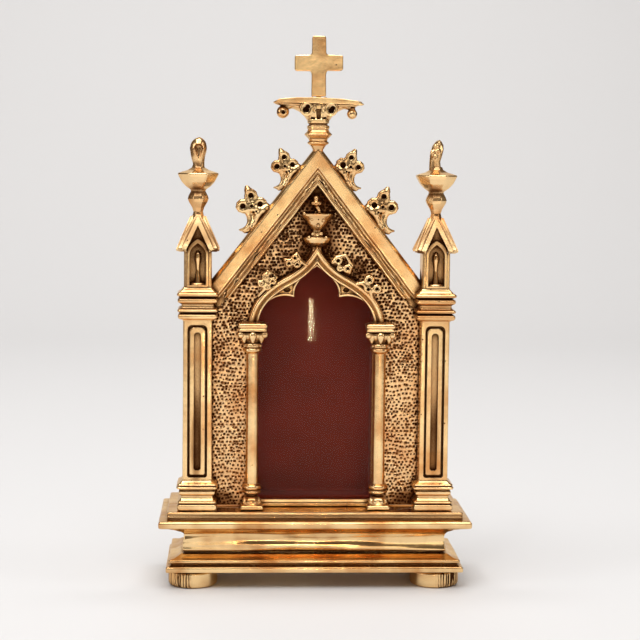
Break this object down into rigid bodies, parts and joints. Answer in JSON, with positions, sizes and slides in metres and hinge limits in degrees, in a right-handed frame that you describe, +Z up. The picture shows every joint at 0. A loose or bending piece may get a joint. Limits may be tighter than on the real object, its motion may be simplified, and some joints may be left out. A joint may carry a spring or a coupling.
{
  "type": "reliquary",
  "caption": "Small cast brass reliquary shaped as a Gothic chapel front, with a glazed trefoil window, red lining, crocketed gable, turrets, a cross and a moulded base on feet.",
  "frame": {"origin": "middle of the footprint on the floor, under the centre of the base", "axes": "+Z up, -Y the way the chapel front faces, +X to the viewer's right when looking at the front"},
  "size_m": [0.0924, 0.036, 0.1625],
  "materials": {
    "polished_brass": "polished cast brass with a dark brown patina left in the recesses",
    "sheet_brass": "satin sheet brass, lightly tarnished",
    "clear_glass": "clear flat glass",
    "red_cloth": "dark red cloth with a short pile"
  },
  "bodies": {
    "root": {"foot_front_left": "polished_brass", "foot_front_right": "polished_brass", "foot_rear_left": "polished_brass", "foot_rear_right": "polished_brass", "base": "polished_brass", "facade": "polished_brass", "cross": "polished_brass", "case": "sheet_brass", "glass": "clear_glass", "lining": "red_cloth", "back_plate": "sheet_brass", "screw_lower_left": "sheet_brass", "screw_lower_right": "sheet_brass", "screw_upper_left": "sheet_brass", "screw_upper_right": "sheet_brass"}
  },
  "joints": []
}
